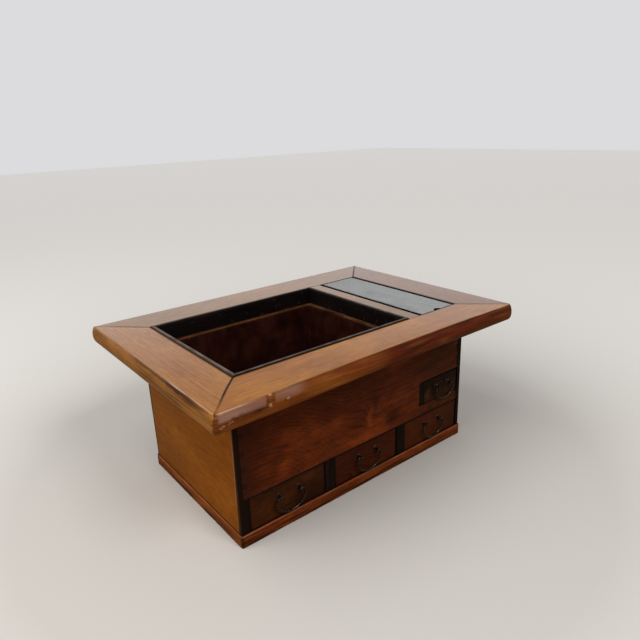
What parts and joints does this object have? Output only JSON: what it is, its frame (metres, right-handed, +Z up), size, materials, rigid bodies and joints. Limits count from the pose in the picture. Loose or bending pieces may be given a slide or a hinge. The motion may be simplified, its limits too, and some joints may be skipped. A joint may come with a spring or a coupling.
{
  "type": "hibachi brazier table",
  "caption": "Low wooden brazier table with a wide mitred rim, a drop-in copper fire pan, a lidded side well and drawers with iron swing handles, on a plinth.",
  "frame": {"origin": "on the floor under the middle of the rim", "axes": "+X to the right along the front, +Y from the front to the back, +Z up; the drawers face -Y"},
  "size_m": [0.761, 0.536, 0.3345],
  "materials": {
    "rim_wood": "worn oiled hardwood, satin",
    "front_wood": "figured hardwood under dark red-brown lacquer",
    "case_wood": "hardwood under golden brown lacquer",
    "plinth_wood": "red-brown hardwood, rubbed",
    "black_wood": "ebonised hardwood, satin",
    "inner_wood": "bare softwood, planed",
    "lid_board": "grey lacquered board, worn satin",
    "copper": "copper sheet, heat-darkened",
    "iron": "forged iron, blackened"
  },
  "bodies": {
    "carcass": {"back_board": "case_wood", "collar_back": "black_wood", "collar_front": "black_wood", "collar_left": "black_wood", "collar_right": "black_wood", "drawer_guides": "inner_wood", "drawer_partition_left": "inner_wood", "drawer_partition_right": "inner_wood", "drawer_wall": "black_wood", "dust_board": "inner_wood", "end_board_left": "case_wood", "end_board_right": "case_wood", "fire_wall": "inner_wood", "floor_board": "inner_wood", "front_board": "front_wood", "lid_ledgers": "inner_wood", "liner_ledgers": "inner_wood", "plinth_back": "plinth_wood", "plinth_front": "plinth_wood", "plinth_left": "plinth_wood", "plinth_right": "plinth_wood", "rim_back": "rim_wood", "rim_cross_rail": "rim_wood", "rim_front": "rim_wood", "rim_left": "rim_wood", "rim_pegs": "inner_wood", "rim_right": "rim_wood", "rim_splines": "inner_wood", "stile_left": "black_wood", "stile_right": "black_wood", "upper_drawer_floor": "inner_wood", "well_floor": "inner_wood", "well_lining_left": "black_wood", "well_lining_right": "black_wood"},
    "liner": {"copper_liner": "copper"},
    "drawer_left": {"drawer_left_back": "inner_wood", "drawer_left_base": "inner_wood", "drawer_left_front": "front_wood", "drawer_left_posts": "iron", "drawer_left_sides": "inner_wood"},
    "bail_left": {"drawer_left_bail": "iron"},
    "drawer_middle": {"drawer_middle_back": "inner_wood", "drawer_middle_base": "inner_wood", "drawer_middle_front": "front_wood", "drawer_middle_posts": "iron", "drawer_middle_sides": "inner_wood"},
    "bail_middle": {"drawer_middle_bail": "iron"},
    "drawer_right": {"drawer_right_back": "inner_wood", "drawer_right_base": "inner_wood", "drawer_right_front": "front_wood", "drawer_right_posts": "iron", "drawer_right_sides": "inner_wood"},
    "bail_right": {"drawer_right_bail": "iron"},
    "drawer_upper": {"drawer_upper_back": "inner_wood", "drawer_upper_base": "inner_wood", "drawer_upper_front": "front_wood", "drawer_upper_posts": "iron", "drawer_upper_sides": "inner_wood"},
    "bail_upper": {"drawer_upper_bail": "iron"},
    "lid": {"well_lid": "lid_board"}
  },
  "joints": [
    {"name": "liner_lift", "type": "slide", "parent": "carcass", "child": "liner", "axis": [0, 0, 1], "range_m": [0, 0.22]},
    {"name": "lid_lift", "type": "slide", "parent": "carcass", "child": "lid", "axis": [0, 0, 1], "range_m": [0, 0.12]},
    {"name": "drawer_left_slide", "type": "slide", "parent": "carcass", "child": "drawer_left", "axis": [0, -1, 0], "range_m": [0, 0.285]},
    {"name": "drawer_middle_slide", "type": "slide", "parent": "carcass", "child": "drawer_middle", "axis": [0, -1, 0], "range_m": [0, 0.285]},
    {"name": "drawer_right_slide", "type": "slide", "parent": "carcass", "child": "drawer_right", "axis": [0, -1, 0], "range_m": [0, 0.285]},
    {"name": "drawer_upper_slide", "type": "slide", "parent": "carcass", "child": "drawer_upper", "axis": [0, -1, 0], "range_m": [0, 0.285]},
    {"name": "bail_left_swing", "type": "hinge", "parent": "drawer_left", "child": "bail_left", "pos_m": [-0.197, -0.19, 0.0705], "axis": [-1, 0, 0], "range_deg": [-8, 100]},
    {"name": "bail_middle_swing", "type": "hinge", "parent": "drawer_middle", "child": "bail_middle", "pos_m": [0.0045, -0.19, 0.0705], "axis": [-1, 0, 0], "range_deg": [-8, 100]},
    {"name": "bail_right_swing", "type": "hinge", "parent": "drawer_right", "child": "bail_right", "pos_m": [0.206, -0.19, 0.0705], "axis": [-1, 0, 0], "range_deg": [-8, 100]},
    {"name": "bail_upper_swing", "type": "hinge", "parent": "drawer_upper", "child": "bail_upper", "pos_m": [0.2415, -0.19, 0.152], "axis": [-1, 0, 0], "range_deg": [-6.5, 100]}
  ]
}
